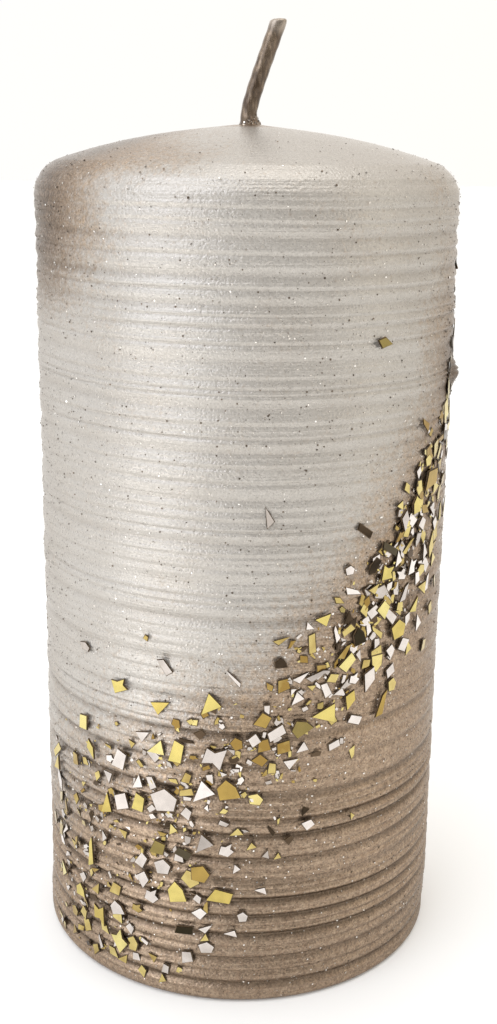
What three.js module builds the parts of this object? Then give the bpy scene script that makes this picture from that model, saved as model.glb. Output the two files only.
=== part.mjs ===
// Pillar candle with a ribbed, lacquered wax coat and a sash of metal-foil flakes.
//
// Millimetres, +Z up. The origin is the centre of the base, on the surface that the candle
// stands on. Azimuth is in degrees: 0 is the front, -Y, and it grows towards +X.

import * as THREE from "three";

// ---------------------------------------------------------------- driving dimensions

// Candle body
const bodyRadius = 35; // over the crests of the ribs
const bodyHeight = 140; // base to the top of the dome
const domeRadius = 95;
const shoulderRadius = 6; // rounding between the dome and the wall
const baseEdgeRadius = 1.2;
const coatThickness = 3; // dipped layer, from the crests of the ribs inwards
const bondGap = 0.3; // clearance between pieces that touch

// Wick
const wickRadius = 1.35;
const wickFlatness = 0.88; // depth of the braid over its width
const wickRise = 17; // above the top of the dome
const wickLean = 4.9; // sideways reach of its tip, towards +X
const wickUprightShare = 0.15; // how far up its free height it keeps pointing straight up
const wickBendShare = 0.67; // height share of the point that draws the upper part over
const wickBendReach = 0.65; // share of the whole lean at that point
const wickCollarRise = 1.6; // wax drawn up round the wick
const wickCollarReach = 1.0;

// Steel sustainer under the wick
const tabRadius = 8;
const tabThickness = 0.5;
const tabInset = 0.6; // up from the base
const crimpWall = 0.5;
const crimpHeight = 5;

// Foil flakes
const flakeThickness = 0.2;
const flakeLeans = [[0, 0], [2.5, -1.5], [-1.5, 2.5], [1.5, 2], [-2.5, -1], [0.5, -2.5]]; // degrees
const steepestLean = 3.5; // degrees, both leans together

// The ribs and the flakes are laid out on a body of this size and follow the real one
const patternRadius = 35;
const patternHeight = 140;
const heightScale = bodyHeight / patternHeight;
const flakeScale = Math.min(1, heightScale, bodyRadius / patternRadius);

// Grooves between the ribs: [height, depth, half of the width]
const grooves = [
  [3.3, 0.5, 1.0],
  [7.8, 0.45, 1.2],
  [12.1, 0.7, 1.1],
  [15.4, 0.6, 0.9],
  [18.4, 0.7, 1.1],
  [22.0, 0.4, 1.2],
  [25.7, 0.5, 1.2],
  [30.0, 0.65, 1.1],
  [32.6, 0.5, 0.9],
  [37.3, 0.6, 1.4],
  [42.4, 0.5, 1.1],
  [47.6, 0.5, 1.2],
  [53.4, 0.3, 1.4],
  [60.2, 0.3, 1.6],
  [66.8, 0.35, 1.4],
  [72.8, 0.25, 1.6],
  [79.0, 0.3, 1.6],
  [86.0, 0.25, 1.8],
  [93.2, 0.3, 1.6],
  [99.9, 0.3, 1.5],
  [106.6, 0.3, 1.6],
  [114.8, 0.35, 1.6],
  [119.0, 0.4, 1.6],
  [124.4, 0.4, 1.6],
];

// Fineness of the round shapes
const lapSegments = 40;
const arcSegments = 5;
const wickSides = 14;
const wickSteps = 56;

// ---------------------------------------------------------------- flakes

// Outlines in a box one unit wide and one unit long
const outlines = {
  triangle: [[-0.5, -0.5], [0.5, -0.3], [0.1, 0.5]],
  kite: [[0, -0.5], [0.5, 0.05], [0.15, 0.5], [-0.5, 0.15]],
  trapezoid: [[-0.5, -0.5], [0.4, -0.5], [0.5, 0.35], [-0.2, 0.5]],
  pentagon: [[-0.3, -0.5], [0.35, -0.45], [0.5, 0.1], [0.05, 0.5], [-0.5, 0.2]],
  house: [[-0.45, -0.5], [0.5, -0.45], [0.35, 0.1], [-0.05, 0.5], [-0.5, 0.1]],
  sliver: [[-0.5, -0.5], [0.3, -0.4], [0.5, 0.5], [0.05, 0.3]],
  bar: [[-0.5, -0.5], [0.45, -0.45], [0.5, 0.5], [-0.4, 0.4]],
  notched: [[-0.4, -0.5], [0.5, -0.2], [0.25, 0.1], [0.4, 0.5], [-0.1, 0.3], [-0.5, 0.4]],
  star: [[-0.5, -0.1], [-0.1, -0.15], [0.1, -0.5], [0.3, -0.05], [0.5, 0.35], [0.05, 0.25], [-0.2, 0.5]],
};

// Each flake: [outline, azimuth, height, length, width, spin], spin in degrees anticlockwise
// as seen from outside
const goldFlakes = [
  ["kite", 36, 109, 2.8, 1.6, 80],
  ["trapezoid", 58, 86, 2.8, 4.2, 10],
  ["house", 51, 82.5, 2.8, 2.2, 0],
  ["kite", 60, 74.5, 4.4, 2.0, 175],
  ["notched", 40, 72.5, 2.6, 2.4, -20],
  ["kite", 39, 66.5, 3.1, 2.6, 10],
  ["triangle", 52, 65.5, 3.0, 1.8, -30],
  ["pentagon", 45, 62.5, 3.2, 3.4, 5],
  ["trapezoid", 28, 59.2, 3.0, 2.0, -40],
  ["triangle", 21, 67, 2.3, 2.3, -45],
  ["sliver", 39.5, 50.5, 4.4, 1.8, -10],
  ["kite", 29, 52.6, 3.4, 1.9, -15],
  ["triangle", 22.5, 51.3, 3.4, 4.2, -30],
  ["house", 15.5, 49.3, 2.7, 3.2, 30],
  ["trapezoid", 5.5, 50.9, 2.2, 2.3, -20],
  ["triangle", -8, 53.6, 3.2, 3.4, 15],
  ["triangle", -21, 51.8, 2.3, 3.2, 180],
  ["notched", -33, 54, 2.4, 3.0, 10],
  ["bar", -47, 45.3, 2.6, 2.0, 0],
  ["kite", -44, 41, 3.4, 1.6, 25],
  ["triangle", -63, 34, 3.0, 2.0, -8],
  ["triangle", -21.8, 45, 2.8, 2.8, -15],
  ["trapezoid", -16.6, 44.8, 3.6, 2.3, -5],
  ["house", -3, 39, 3.4, 3.5, 8],
  ["triangle", -38.2, 32.5, 4.0, 2.3, 0],
  ["trapezoid", -27.6, 34.6, 3.1, 2.3, -5],
  ["trapezoid", -22, 27.3, 2.2, 2.6, -5],
  ["pentagon", -10.3, 23.8, 3.0, 3.2, -15],
  ["house", -16.5, 19.9, 3.6, 3.0, 8],
  ["trapezoid", -5, 20, 2.2, 4.2, -5],
  ["sliver", -45, 22, 5.4, 1.7, 8],
  ["triangle", -60, 14.5, 2.8, 2.2, 25],
  ["house", -50, 13.3, 2.3, 2.4, 0],
  ["star", -41.5, 10.8, 4.0, 3.0, 20],
  ["notched", -34, 7.6, 3.8, 2.8, 30],
];

const silverFlakes = [
  ["kite", 46, 80.4, 3.4, 1.8, 0],
  ["kite", 54, 78.9, 2.4, 2.2, 20],
  ["notched", 50, 72.2, 2.9, 1.8, -25],
  ["sliver", 46.8, 68.4, 3.0, 1.8, -8],
  ["kite", 34.8, 55.4, 4.2, 2.3, -20],
  ["sliver", 19.5, 57.9, 3.6, 1.4, -55],
  ["bar", 9, 48.6, 1.6, 3.0, 28],
  ["star", -6.5, 44.2, 4.0, 4.4, 10],
  ["trapezoid", -33.5, 41.3, 3.2, 2.5, -8],
  ["triangle", -9.8, 38.6, 3.3, 3.8, 15],
  ["pentagon", -20, 36, 3.8, 4.6, 5],
  ["bar", -33, 33.8, 2.7, 2.8, 20],
  ["triangle", -9.6, 29.4, 2.8, 3.2, 20],
  ["kite", -26.4, 20.8, 3.2, 2.3, 0],
  ["pentagon", -20.6, 24.0, 2.6, 2.8, 0],
  ["house", -35, 13.8, 2.5, 2.7, 15],
  ["kite", -10.4, 16.4, 2.0, 2.5, 10],
];

const darkFlakes = [
  ["bar", 40.4, 76.5, 3.8, 1.1, 60],
  ["house", 31.4, 63.2, 3.0, 2.1, 10],
  ["bar", -14.8, 27.0, 1.5, 2.5, -25],
  ["bar", -14.6, 13.0, 1.4, 3.0, 0],
];

// ---------------------------------------------------------------- materials

const waxMaterial = new THREE.MeshStandardMaterial({ color: "#efe6d6", roughness: 0.6, metalness: 0 });
const coatMaterial = new THREE.MeshStandardMaterial({ color: "#c9bfb2", roughness: 0.4, metalness: 0.5 });
const wickMaterial = new THREE.MeshStandardMaterial({ color: "#a58a62", roughness: 0.5, metalness: 0.5 });
const steelMaterial = new THREE.MeshStandardMaterial({ color: "#b9bcc0", roughness: 0.35, metalness: 1 });
const goldMaterial = new THREE.MeshStandardMaterial({ color: "#d8bd52", roughness: 0.2, metalness: 1 });
const silverMaterial = new THREE.MeshStandardMaterial({ color: "#cfcac6", roughness: 0.2, metalness: 1 });
const darkMaterial = new THREE.MeshStandardMaterial({ color: "#34302a", roughness: 0.25, metalness: 1 });

// ---------------------------------------------------------------- shapes

const radians = THREE.MathUtils.degToRad;
const at = (radius, height) => new THREE.Vector2(radius, height);

// Points of an arc in a profile; angles in degrees from the +radius direction
function arc(centreRadius, centreHeight, radius, fromAngle, toAngle) {
  const points = [];
  for (let i = 0; i <= arcSegments; i += 1) {
    const angle = radians(fromAngle + ((toAngle - fromAngle) * i) / arcSegments);
    points.push(at(centreRadius + radius * Math.cos(angle), centreHeight + radius * Math.sin(angle)));
  }
  return points;
}

// The solid that a closed profile sweeps about +Z
function turned(profile) {
  return new THREE.LatheGeometry(profile, lapSegments).rotateX(Math.PI / 2);
}

const domeCentre = bodyHeight - domeRadius;

// Height of the dome's surface, moved inwards by an offset, at a distance from the axis
function domeHeight(offset, radius) {
  return domeCentre + Math.sqrt((domeRadius - offset) ** 2 - radius ** 2);
}

// The shoulder's rounding on the body's surface moved inwards by an offset
function shoulder(offset) {
  const radius = Math.max(shoulderRadius - offset, bondGap);
  const centreRadius = bodyRadius - offset - radius;
  const reach = domeRadius - offset - radius;
  const centreHeight = domeCentre + Math.sqrt(reach ** 2 - centreRadius ** 2);
  const tangentAngle = THREE.MathUtils.radToDeg(Math.acos(centreRadius / reach));
  return { radius, centreRadius, centreHeight, tangentAngle };
}

// Shoulder and dome, from the top of the wall inwards to a hole round the axis
function cap(offset, holeRadius) {
  const { radius, centreRadius, centreHeight, tangentAngle } = shoulder(offset);
  const domeAngle = THREE.MathUtils.radToDeg(Math.acos(holeRadius / (domeRadius - offset)));
  return [
    ...arc(centreRadius, centreHeight, radius, 0, tangentAngle),
    ...arc(0, domeCentre, domeRadius - offset, tangentAngle, domeAngle).slice(1),
  ];
}

// The ribbed wall, from the base edge up to the shoulder
function ribbedWall() {
  const points = [];
  for (const [height, depth, halfWidth] of grooves) {
    points.push(at(bodyRadius, (height - halfWidth) * heightScale));
    points.push(at(bodyRadius - depth, height * heightScale));
    points.push(at(bodyRadius, (height + halfWidth) * heightScale));
  }
  return points;
}

// Concave rise of the coat round the wick, from the dome inwards to the hole's rim
function wickCollar(holeRadius) {
  const points = [];
  for (let i = 1; i <= arcSegments; i += 1) {
    const share = i / arcSegments;
    const radius = holeRadius + wickCollarReach * (1 - share);
    points.push(at(radius, domeHeight(0, radius) + wickCollarRise * share ** 2));
  }
  return points;
}

const wickHoleRadius = wickRadius + bondGap;

function coatGeometry() {
  return turned([
    at(bodyRadius - coatThickness, 0),
    ...arc(bodyRadius - baseEdgeRadius, baseEdgeRadius, baseEdgeRadius, -90, 0),
    ...ribbedWall(),
    ...cap(0, wickHoleRadius + wickCollarReach),
    ...wickCollar(wickHoleRadius),
    ...cap(coatThickness, wickHoleRadius).reverse(),
    at(bodyRadius - coatThickness, 0),
  ]);
}

// Pressed core, bored for the wick and recessed underneath for the sustainer
function coreGeometry() {
  const recessRadius = tabRadius + bondGap;
  const recessHeight = tabInset + tabThickness + bondGap;
  const neckRadius = wickRadius + bondGap + crimpWall + bondGap;
  const neckHeight = tabInset + crimpHeight + bondGap;
  return turned([
    at(recessRadius, 0),
    at(bodyRadius - coatThickness - bondGap, 0),
    ...cap(coatThickness + bondGap, wickHoleRadius),
    at(wickHoleRadius, neckHeight),
    at(neckRadius, neckHeight),
    at(neckRadius, recessHeight),
    at(recessRadius, recessHeight),
    at(recessRadius, 0),
  ]);
}

// Steel disc with an upright crimped round the foot of the wick
function sustainerGeometry() {
  const crimpOuterRadius = wickHoleRadius + crimpWall;
  return turned([
    at(wickHoleRadius, tabInset),
    at(tabRadius, tabInset),
    at(tabRadius, tabInset + tabThickness),
    at(crimpOuterRadius, tabInset + tabThickness),
    at(crimpOuterRadius, tabInset + crimpHeight),
    at(wickHoleRadius, tabInset + crimpHeight),
    at(wickHoleRadius, tabInset),
  ]);
}

// Straight through the candle, then leaning over above the wax
function wickPath() {
  const root = bodyHeight + wickCollarRise;
  const tip = bodyHeight + wickRise;
  const freeHeight = tip - root;
  const path = new THREE.CurvePath();
  path.add(new THREE.LineCurve3(new THREE.Vector3(0, 0, tabInset), new THREE.Vector3(0, 0, root)));
  path.add(
    new THREE.CubicBezierCurve3(
      new THREE.Vector3(0, 0, root),
      new THREE.Vector3(0, 0, root + freeHeight * wickUprightShare),
      new THREE.Vector3(wickLean * wickBendReach, 0, root + freeHeight * wickBendShare),
      new THREE.Vector3(wickLean, 0, tip),
    ),
  );
  return path;
}

function wickGeometry() {
  const section = new THREE.Shape();
  section.absellipse(0, 0, wickRadius * wickFlatness, wickRadius, 0, Math.PI * 2);
  return new THREE.ExtrudeGeometry(section, {
    curveSegments: wickSides / 2, // an ellipse takes two sides for each
    steps: wickSteps,
    extrudePath: wickPath(),
  });
}

// A flat shard cut to an outline, centred on its own origin
function flakeGeometry(outline, length, width) {
  const corners = outlines[outline].map(([x, y]) => at(x * width, y * length));
  return new THREE.ExtrudeGeometry(new THREE.Shape(corners), {
    depth: flakeThickness,
    bevelEnabled: false,
  });
}

// ---------------------------------------------------------------- assembly

const candle = new THREE.Group();

function addPiece(name, geometry, material) {
  const mesh = new THREE.Mesh(geometry, material);
  mesh.name = name;
  candle.add(mesh);
}

// One mesh for each flake, tangent to the ribs' crests and clear of them
function addFlakes(kind, flakes, material) {
  flakes.forEach(([outline, azimuth, height, fullLength, fullWidth, spin], index) => {
    const length = fullLength * flakeScale;
    const width = fullWidth * flakeScale;
    const lift = (Math.hypot(length, width) / 2) * Math.sin(radians(steepestLean));
    const [leanUp, leanSide] = flakeLeans[index % flakeLeans.length];

    const flake = new THREE.Mesh(flakeGeometry(outline, length, width), material);
    flake.name = `${kind}_flake_${String(index + 1).padStart(2, "0")}`;
    flake.position.set(0, height * heightScale, bodyRadius + bondGap + lift);
    flake.rotation.set(radians(leanUp), radians(leanSide), radians(spin));

    // Inside the upright group, x runs along the wall, y up it and z out of it
    const upright = new THREE.Group();
    upright.rotation.x = Math.PI / 2;
    upright.add(flake);
    const turn = new THREE.Group();
    turn.rotation.z = radians(azimuth);
    turn.add(upright);
    candle.add(turn);
  });
}

addPiece("wax_core", coreGeometry(), waxMaterial);
addPiece("ribbed_coat", coatGeometry(), coatMaterial);
addPiece("wick", wickGeometry(), wickMaterial);
addPiece("wick_sustainer", sustainerGeometry(), steelMaterial);
addFlakes("gold", goldFlakes, goldMaterial);
addFlakes("silver", silverFlakes, silverMaterial);
addFlakes("dark", darkFlakes, darkMaterial);

export default candle;
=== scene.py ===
"""Looks for a ribbed pillar candle with a foil-flake sash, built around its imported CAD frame.

Metres, +Z up, the candle stands on z = 0. Azimuth is in degrees: 0 is the front, -Y, and it
grows towards +X. Lengths written with MM are in millimetres.
"""

import math

import bpy
import numpy as np
from mathutils import Matrix, Vector


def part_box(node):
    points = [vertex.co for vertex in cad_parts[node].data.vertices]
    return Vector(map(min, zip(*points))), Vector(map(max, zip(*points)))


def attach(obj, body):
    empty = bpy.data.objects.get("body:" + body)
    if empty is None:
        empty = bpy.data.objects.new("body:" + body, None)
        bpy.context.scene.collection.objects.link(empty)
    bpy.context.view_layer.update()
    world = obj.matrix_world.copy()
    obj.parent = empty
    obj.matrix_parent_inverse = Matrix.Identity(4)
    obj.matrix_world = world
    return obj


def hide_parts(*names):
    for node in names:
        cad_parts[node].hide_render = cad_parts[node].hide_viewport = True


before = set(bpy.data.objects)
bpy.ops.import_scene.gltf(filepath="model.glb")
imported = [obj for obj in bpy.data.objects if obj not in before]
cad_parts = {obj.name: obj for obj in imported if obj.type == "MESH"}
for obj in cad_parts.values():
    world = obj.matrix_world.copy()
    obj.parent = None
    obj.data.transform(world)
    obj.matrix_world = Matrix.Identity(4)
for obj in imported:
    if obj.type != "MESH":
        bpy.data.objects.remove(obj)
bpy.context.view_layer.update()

MM = 0.001

# ---------------- sizes from the frame

BODY_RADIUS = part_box("ribbed_coat")[1].x
CORE_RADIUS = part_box("wax_core")[1].x
BOND_GAP = 0.3 * MM
COAT_INNER_RADIUS = CORE_RADIUS + BOND_GAP
CORE_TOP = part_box("wax_core")[1].z
WICK_LOW, WICK_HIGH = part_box("wick")

# ---------------- the coat's own sizes

DOME_RADIUS = 95 * MM
SHOULDER_RADIUS = 6 * MM
BASE_EDGE_RADIUS = 1.2 * MM
COAT_THICKNESS = BODY_RADIUS - COAT_INNER_RADIUS
DOME_TOP = CORE_TOP + COAT_THICKNESS + BOND_GAP
WICK_RADIUS = 1.35 * MM
COLLAR_RISE = 1.7 * MM  # wax drawn up round the wick
COLLAR_REACH = 1.0 * MM
PEAK_RISE = 0.8 * MM  # slight peak of the dome round the collar
PEAK_REACH = 5 * MM

LAP_STEPS = 152  # columns of the coat's mesh
WALL_STEP = 0.24 * MM  # height of its rows on the wall
BASE_ROWS = 8
SHOULDER_ROWS = 26
DOME_ROWS = 34
COLLAR_ROWS = 14

SEED = 20


def srgb(red, green, blue):
    """A linear colour with alpha from 0 to 255 sRGB values."""
    linear = []
    for value in (red, green, blue):
        share = value / 255
        linear.append(share / 12.92 if share <= 0.04045 else ((share + 0.055) / 1.055) ** 2.4)
    return (*linear, 1.0)


def smoothstep(low, high, value):
    share = np.clip((value - low) / (high - low), 0, 1)
    return share * share * (3 - 2 * share)


def polar(azimuth, radius, height):
    """The point at an azimuth in degrees, a distance from the axis and a height."""
    angle = np.radians(azimuth)
    return np.stack([radius * np.sin(angle), -radius * np.cos(angle), height + 0 * angle], axis=-1)


# ---------------- mesh helpers


def add_piece(name, vertices, faces, material, smooth=True):
    """A mesh that rides on the candle and material."""
    mesh = bpy.data.meshes.new(name)
    mesh.from_pydata([tuple(v) for v in vertices], [], [tuple(f) for f in faces])
    mesh.materials.append(material)
    mesh.polygons.foreach_set("use_smooth", [smooth] * len(mesh.polygons))
    mesh.update()
    piece = bpy.data.objects.new(name, mesh)
    bpy.context.scene.collection.objects.link(piece)
    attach(piece, "root")
    return piece


def add_attribute(piece, name, values):
    """A number for each point of a piece's mesh, for its material to read."""
    attribute = piece.data.attributes.new(name, "FLOAT", "POINT")
    attribute.data.foreach_set("value", np.asarray(values, np.float32).ravel())


def dress_node(name, material):
    """A better material on a CAD node that is shown as it is."""
    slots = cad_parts[name].data.materials
    slots.clear()
    slots.append(material)


def ring_faces(rows, columns):
    """Quads between closed rings of points, the last row joined to the first."""
    faces = []
    for row in range(rows):
        above = (row + 1) % rows
        for column in range(columns):
            beside = (column + 1) % columns
            corners = ((row, column), (row, beside), (above, beside), (above, column))
            faces.append(tuple(r * columns + c for r, c in corners))
    return faces


# ---------------- material helpers


class Nodes:
    """Short ways to add nodes to a node tree. A value may be a constant or another node's output."""

    def __init__(self, tree):
        self.nodes = tree.nodes
        self.links = tree.links

    def add(self, kind, **settings):
        node = self.nodes.new("ShaderNode" + kind)
        for key, value in settings.items():
            setattr(node, key, value)
        return node

    def put(self, value, socket):
        if isinstance(value, (int, float, tuple)):
            socket.default_value = value
        else:
            self.links.new(value, socket)

    def calc(self, operation, *values):
        node = self.add("Math", operation=operation)
        for value, socket in zip(values, node.inputs):
            self.put(value, socket)
        return node.outputs[0]

    def vector_calc(self, operation, *values):
        node = self.add("VectorMath", operation=operation)
        for value, socket in zip(values, node.inputs):
            self.put(value, socket)
        return node.outputs["Value" if operation == "DOT_PRODUCT" else "Vector"]

    def mapped(self, value, low, high, to_low=0.0, to_high=1.0):
        """value moved from the range low to high into the range to_low to to_high, and held there."""
        node = self.add("MapRange")
        ends = {"From Min": low, "From Max": high, "To Min": to_low, "To Max": to_high}
        for key, number in ends.items():
            node.inputs[key].default_value = number
        self.put(value, node.inputs["Value"])
        return node.outputs["Result"]

    def mixed(self, share, first, second, blend="MIX"):
        """Colour first at share 0 and colour second at share 1."""
        node = self.add("Mix", data_type="RGBA", blend_type=blend)
        colour_inputs = (node.inputs[0], node.inputs[6], node.inputs[7])
        for value, socket in zip((share, first, second), colour_inputs):
            self.put(value, socket)
        return node.outputs[2]


class Shader(Nodes):
    """A new material with a principled surface."""

    def __init__(self, name):
        self.material = bpy.data.materials.new(name)
        self.material.use_nodes = True
        super().__init__(self.material.node_tree)
        self.surface = self.nodes["Principled BSDF"]

    def feed(self, **values):
        """Sets or links the surface's inputs; Base_Color stands for Base Color."""
        for key, value in values.items():
            self.put(value, self.surface.inputs[key.replace("_", " ")])

    def attribute(self, name):
        return self.add("Attribute", attribute_name=name).outputs["Fac"]

    def texture(self, kind, scale):
        """A texture over the object's metres, scaled by one number or by one along each axis."""
        mapping = self.add("Mapping")
        mapping.inputs["Scale"].default_value = scale if isinstance(scale, tuple) else (scale,) * 3
        self.put(self.add("TexCoord").outputs["Object"], mapping.inputs["Vector"])
        node = self.add(kind)
        node.inputs["Scale"].default_value = 1.0
        self.put(mapping.outputs["Vector"], node.inputs["Vector"])
        return node

    def noise(self, scale, detail=2.0, roughness=0.5):
        node = self.texture("TexNoise", scale)
        node.inputs["Detail"].default_value = detail
        node.inputs["Roughness"].default_value = roughness
        return node.outputs["Fac"]

    def cells(self, scale, output="Distance"):
        return self.texture("TexVoronoi", scale).outputs[output]

    def outward(self):
        """How far the surface faces away from the candle's axis: 1 squarely, 0 edge on."""
        geometry = self.add("NewGeometry")
        level = self.vector_calc("MULTIPLY", geometry.outputs["Position"], (1, 1, 0))
        away = self.vector_calc("NORMALIZE", level)
        facing = self.vector_calc("DOT_PRODUCT", away, geometry.outputs["True Normal"])
        return self.calc("ABSOLUTE", facing)

    def bump(self, height, depth, strength=1.0, normal=None):
        node = self.add("Bump")
        node.inputs["Distance"].default_value = depth
        node.inputs["Strength"].default_value = strength
        self.put(height, node.inputs["Height"])
        if normal is not None:
            self.put(normal, node.inputs["Normal"])
        return node.outputs["Normal"]


# ---------------- coat: shape

# Finer grooves that the comb left between the main ones: (height, depth, half width), in mm
FINE_GROOVES = [
    (1.7, 0.15, 0.5), (5.5, 0.25, 0.6), (9.9, 0.25, 0.6), (13.8, 0.25, 0.5), (16.9, 0.2, 0.4),
    (20.2, 0.3, 0.5), (23.8, 0.25, 0.6), (27.8, 0.2, 0.5), (31.3, 0.3, 0.4), (34.3, 0.3, 0.5),
    (35.6, 0.2, 0.4), (39.8, 0.15, 0.5), (44.8, 0.2, 0.6), (49.3, 0.34, 0.35), (51.0, 0.4, 0.35),
    (55.6, 0.12, 0.5), (57.9, 0.16, 0.5), (62.2, 0.16, 0.5), (63.6, 0.14, 0.4), (65.0, 0.12, 0.4),
    (69.3, 0.2, 0.4), (70.6, 0.2, 0.4), (74.9, 0.14, 0.5), (77.0, 0.14, 0.5), (80.9, 0.2, 0.4),
    (82.4, 0.14, 0.6), (84.1, 0.12, 0.6), (88.4, 0.14, 0.7), (90.8, 0.14, 0.5), (95.2, 0.2, 0.4),
    (97.2, 0.14, 0.6), (101.7, 0.22, 0.35), (102.6, 0.18, 0.35), (104.0, 0.14, 0.5),
    (109.1, 0.18, 0.5), (111.6, 0.2, 0.6), (113.2, 0.16, 0.35), (117.0, 0.18, 0.6),
    (121.9, 0.16, 0.6), (126.5, 0.14, 0.5), (128.3, 0.2, 0.6), (129.9, 0.16, 0.4),
    (131.8, 0.18, 0.7), (134.2, 0.22, 0.5),
]

# Each main groove is a crisp cut in a broad hollow, with the wax it pushed out as a lip above it
PROFILE_STEP = 0.05 * MM
CUT_SHARE = 0.85
CUT_BLUR = 0.12 * MM
HOLLOW_SHARE = 0.35
HOLLOW_BLUR = 1.1 * MM
LIP_SHARE = 0.42
LIP_BLUR = 0.2 * MM
LIP_OFFSET = 1.15 * MM
LIP_START = 0.1 * MM  # shallower grooves have no lip
USUAL_DEPTH = 0.5 * MM
FINE_LIP_SHARE = 0.55

GROOVE_WANDER = 0.16 * MM  # how far grooves stray up and down round the candle
COMB_TILT = 0.25 * MM
WALL_SWELL = 0.08 * MM
CREST_DEPTH = 0.1 * MM  # of the crests' mean, below the CAD's
SCRATCHES = 150

# The run of wax at the sash's far end
RUN_AZIMUTH = 80
RUN_HEIGHT = 101 * MM
RUN_REACH = 1.3 * MM


def main_grooves():
    """Heights and depths of the wall at azimuth 0, read from the CAD coat."""
    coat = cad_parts["ribbed_coat"].data
    points = np.array([v.co for v in coat.vertices])
    below_deepest = BODY_RADIUS - 1.2 * MM
    front = (np.abs(points[:, 0]) < 0.01 * MM) & (points[:, 1] < -below_deepest)
    wall = points[front]
    order = np.argsort(wall[:, 2])
    heights = wall[order, 2]
    depths = BODY_RADIUS + wall[order, 1]
    in_wall = (heights > BASE_EDGE_RADIUS) & (heights < shoulder()[1])
    return heights[in_wall], depths[in_wall]


def shoulder():
    """The shoulder's centre (distance from the axis, height) and the angle where the dome begins."""
    centre = BODY_RADIUS - SHOULDER_RADIUS
    reach = DOME_RADIUS - SHOULDER_RADIUS
    height = DOME_TOP - DOME_RADIUS + math.sqrt(reach**2 - centre**2)
    return centre, height, math.acos(centre / reach)


def blurred(values, step, width):
    """values, spaced by step, smoothed with a Gaussian of that width."""
    reach = int(4 * width / step)
    offsets = np.arange(-reach, reach + 1) * step
    kernel = np.exp(-0.5 * (offsets / width) ** 2)
    padded = np.pad(values, reach, mode="edge")
    return np.convolve(padded, kernel / kernel.sum(), mode="valid")


def groove_table():
    """Fine, evenly spaced heights up the wall and the depth of the grooves at each."""
    heights = np.arange(0, DOME_TOP, PROFILE_STEP)
    main = np.interp(heights, *main_grooves())
    cuts = blurred(main, PROFILE_STEP, CUT_BLUR) ** 1.25 / USUAL_DEPTH**0.25
    hollows = blurred(main, PROFILE_STEP, HOLLOW_BLUR)
    pushed_out = np.roll(np.maximum(main - LIP_START, 0), int(LIP_OFFSET / PROFILE_STEP))
    lips = blurred(pushed_out, PROFILE_STEP, LIP_BLUR)
    strength = 1 - 0.25 * smoothstep(56 * MM, 72 * MM, heights)
    depths = strength * (CUT_SHARE * cuts - LIP_SHARE * lips) + HOLLOW_SHARE * hollows
    for height, depth, half_width in FINE_GROOVES:
        middle, width = height * MM, half_width * MM * 0.6
        crispness = 1 + 0.45 * float(smoothstep(74, 88, height)) - 0.9 * float(smoothstep(124, 131, height))
        cut = CUT_SHARE * depth * MM * crispness
        depths = depths + cut * np.exp(-(((heights - middle) / width) ** 2))
        depths = depths - FINE_LIP_SHARE * cut * np.exp(-(((heights - middle - 1.6 * width) / width) ** 2))
    return heights, depths


def ripple(azimuth, height, random, waves, longest):
    """Smooth noise of about -1 to 1 that closes on itself round the candle."""
    total = np.zeros(np.broadcast(azimuth, height).shape)
    for _ in range(waves):
        laps = random.integers(1, 6)
        pitch = random.uniform(0.3, 1.0) * 2 * math.pi / longest
        phase, tilt = random.uniform(0, 2 * math.pi, 2)
        round_and_up = np.sin(np.radians(azimuth) * laps + pitch * height + phase)
        total += round_and_up * np.cos(pitch * height * 0.7 + tilt)
    return total / math.sqrt(waves)


def comb_scratches(azimuth, height, random):
    """Depth of many shallow scratches, each fading in and out round the candle."""
    total = np.zeros(np.broadcast(azimuth, height).shape)
    angle = np.radians(azimuth)
    for _ in range(SCRATCHES):
        at = random.uniform(2, 134) * MM
        depth = random.uniform(0.02, 0.08) * MM
        width = random.uniform(0.28, 0.6) * MM
        middle, phase = random.uniform(0, 2 * math.pi, 2)
        wander = random.uniform(0.1, 0.5) * MM
        fade = 0.5 + 0.5 * np.cos(angle - middle)
        line = at + wander * np.sin(angle + phase)
        total += depth * fade**2 * np.exp(-(((height - line) / width) ** 2))
    return total


def dome_height(radius):
    """Height of the dome at a distance from the axis, with its slight peak round the wick."""
    sphere = DOME_TOP - DOME_RADIUS + math.sqrt(DOME_RADIUS**2 - radius**2)
    return sphere + PEAK_RISE * math.exp(-radius / PEAK_REACH)


def collar_lumps(azimuth, radius):
    """How the wax drawn up round the wick differs from an even cone: fuller towards +X, and lumpy."""
    near = 1 - smoothstep(WICK_RADIUS * 1.02, WICK_RADIUS + COLLAR_REACH, radius)
    angle = np.radians(azimuth)
    fuller = 0.5 * np.sin(angle) - 0.5
    lumps = 0.2 * np.sin(3 * angle + 0.7) + 0.16 * np.sin(7 * angle)
    broken = 0.55 + 0.45 * np.cos(40 * radius / COLLAR_REACH + 5 * angle)
    return COLLAR_RISE * near * (fuller + lumps * broken)


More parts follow.
